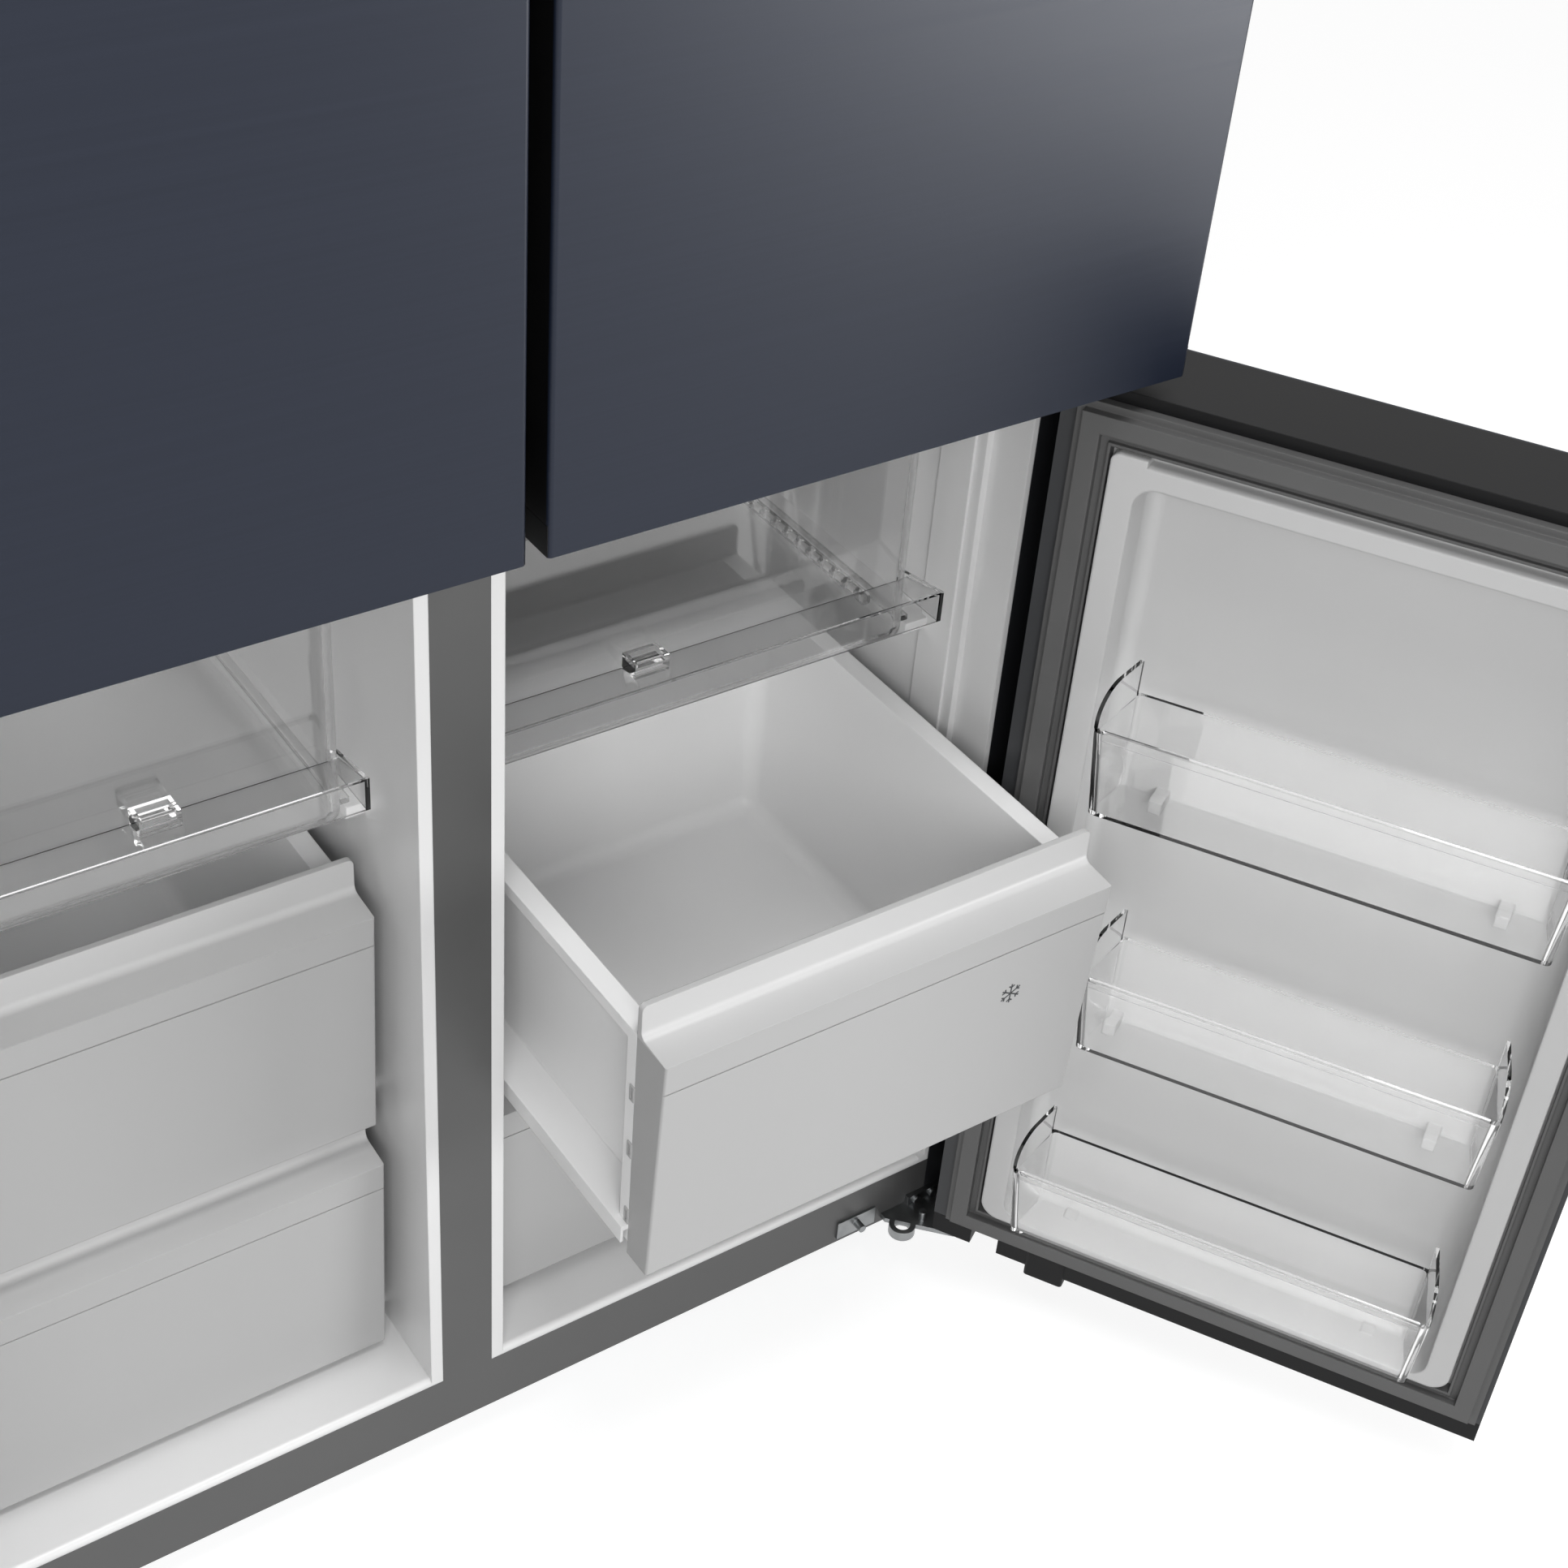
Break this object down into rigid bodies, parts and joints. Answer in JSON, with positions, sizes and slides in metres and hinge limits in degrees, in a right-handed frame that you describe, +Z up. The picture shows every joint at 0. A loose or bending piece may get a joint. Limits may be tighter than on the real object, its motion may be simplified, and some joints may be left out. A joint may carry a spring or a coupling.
{
  "type": "refrigerator",
  "caption": "Tall refrigerator with paired upper doors over paired freezer doors, pull-out freezer drawers, clear door racks and a rear machine compartment.",
  "frame": {"origin": "on the floor, under the middle of the whole object as it stands with its lower doors open", "axes": "+X to the viewer's right, the front faces -Y, +Z up"},
  "size_m": [1.2828, 0.9582, 1.7785],
  "materials": {
    "case": "satin dark grey paint",
    "zinc": "galvanised",
    "foam": "rigid foam",
    "liner": "satin white",
    "door_liner": "satin white",
    "rail": "satin grey paint",
    "door_front": "satin blue-grey coated steel",
    "black_plastic": "satin black",
    "gasket": "matte grey",
    "clear": "clear",
    "drawer": "satin white",
    "screws": "zinc plated",
    "steel": "zinc plated",
    "foot": "black",
    "compressor": "black paint",
    "fins": "plain",
    "fan": "dark grey",
    "shelf_glass": "clear"
  },
  "bodies": {
    "cabinet": {"back_panel": "case", "base_deck": "zinc", "beam_cover": "rail", "bottom_rail": "rail", "case_shell": "case", "center_post": "liner", "compressor": "compressor", "condenser": "fins", "door_stops": "steel", "duct_cover_l": "liner", "duct_cover_r": "liner", "evaporator": "fins", "evaporator_motor": "fan", "fan_shroud": "fan", "feet": "foot", "foam_body": "foam", "freezer_liner_l": "liner", "freezer_liner_r": "liner", "glass_shelves": "shelf_glass", "hinge_low": "steel", "hinge_mid": "steel", "hinge_screws": "screws", "hinge_top": "steel", "machine_cover": "zinc", "machine_plate": "zinc", "mullion_cover": "rail", "upper_liner": "liner"},
    "drawer_clear_l": {"clear_drawer_l": "clear"},
    "drawer_clear_r": {"clear_drawer_r": "clear"},
    "condenser_fan_body": {"condenser_fan": "fan"},
    "evaporator_fan_body": {"evaporator_fan": "fan"},
    "door_ll": {"ll_caps": "black_plastic", "ll_gasket": "gasket", "ll_liner": "door_liner", "ll_racks": "clear", "ll_skin": "door_front"},
    "drawer_low_l": {"low_l_front": "drawer", "low_l_tub": "drawer"},
    "drawer_low_r": {"low_r_front": "drawer", "low_r_tub": "drawer"},
    "door_lr": {"lr_caps": "black_plastic", "lr_gasket": "gasket", "lr_liner": "door_liner", "lr_racks": "clear", "lr_skin": "door_front"},
    "drawer_mid_l": {"mid_l_front": "drawer", "mid_l_tub": "drawer"},
    "drawer_mid_r": {"mid_r_front": "drawer", "mid_r_tub": "drawer"},
    "door_ul": {"ul_caps": "black_plastic", "ul_gasket": "gasket", "ul_liner": "door_liner", "ul_racks": "clear", "ul_skin": "door_front"},
    "door_ur": {"ur_caps": "black_plastic", "ur_gasket": "gasket", "ur_liner": "door_liner", "ur_racks": "clear", "ur_skin": "door_front"}
  },
  "joints": [
    {"name": "ul_hinge", "type": "hinge", "parent": "cabinet", "child": "door_ul", "pos_m": [-0.4, -0.12993, 1.2715], "axis": [0, 0, -1], "range_deg": [0, 120]},
    {"name": "ur_hinge", "type": "hinge", "parent": "cabinet", "child": "door_ur", "pos_m": [0.4, -0.12993, 1.2715], "axis": [0, 0, 1], "range_deg": [0, 120]},
    {"name": "ll_hinge", "type": "hinge", "parent": "cabinet", "child": "door_ll", "pos_m": [-0.4, -0.12993, 0.402], "axis": [0, 0, -1], "range_deg": [-121, 4]},
    {"name": "lr_hinge", "type": "hinge", "parent": "cabinet", "child": "door_lr", "pos_m": [0.4, -0.12993, 0.402], "axis": [0, 0, 1], "range_deg": [-121, 4]},
    {"name": "clear_r_slide", "type": "slide", "parent": "cabinet", "child": "drawer_clear_r", "axis": [0, -1, 0], "range_m": [0, 0.22]},
    {"name": "clear_l_slide", "type": "slide", "parent": "cabinet", "child": "drawer_clear_l", "axis": [0, -1, 0], "range_m": [0, 0.22]},
    {"name": "mid_l_slide", "type": "slide", "parent": "cabinet", "child": "drawer_mid_l", "axis": [0, -1, 0], "range_m": [0, 0.22]},
    {"name": "low_r_slide", "type": "slide", "parent": "cabinet", "child": "drawer_low_r", "axis": [0, -1, 0], "range_m": [0, 0.22]},
    {"name": "low_l_slide", "type": "slide", "parent": "cabinet", "child": "drawer_low_l", "axis": [0, -1, 0], "range_m": [0, 0.22]},
    {"name": "mid_r_slide", "type": "slide", "parent": "cabinet", "child": "drawer_mid_r", "axis": [0, -1, 0], "range_m": [-0.263, 0.009]},
    {"name": "condenser_fan_spin", "type": "hinge", "parent": "cabinet", "child": "condenser_fan_body", "pos_m": [0.0583, 0.38757, 0.1085], "axis": [1, 0, 0], "continuous": true},
    {"name": "evaporator_fan_spin", "type": "hinge", "parent": "cabinet", "child": "evaporator_fan_body", "pos_m": [0.2025, 0.40107, 0.664], "axis": [0, 1, 0], "continuous": true}
  ],
  "couplings": [
    {"joint": "mid_r_slide", "follows": "lr_hinge", "m_per_rad": 0.12406}
  ]
}
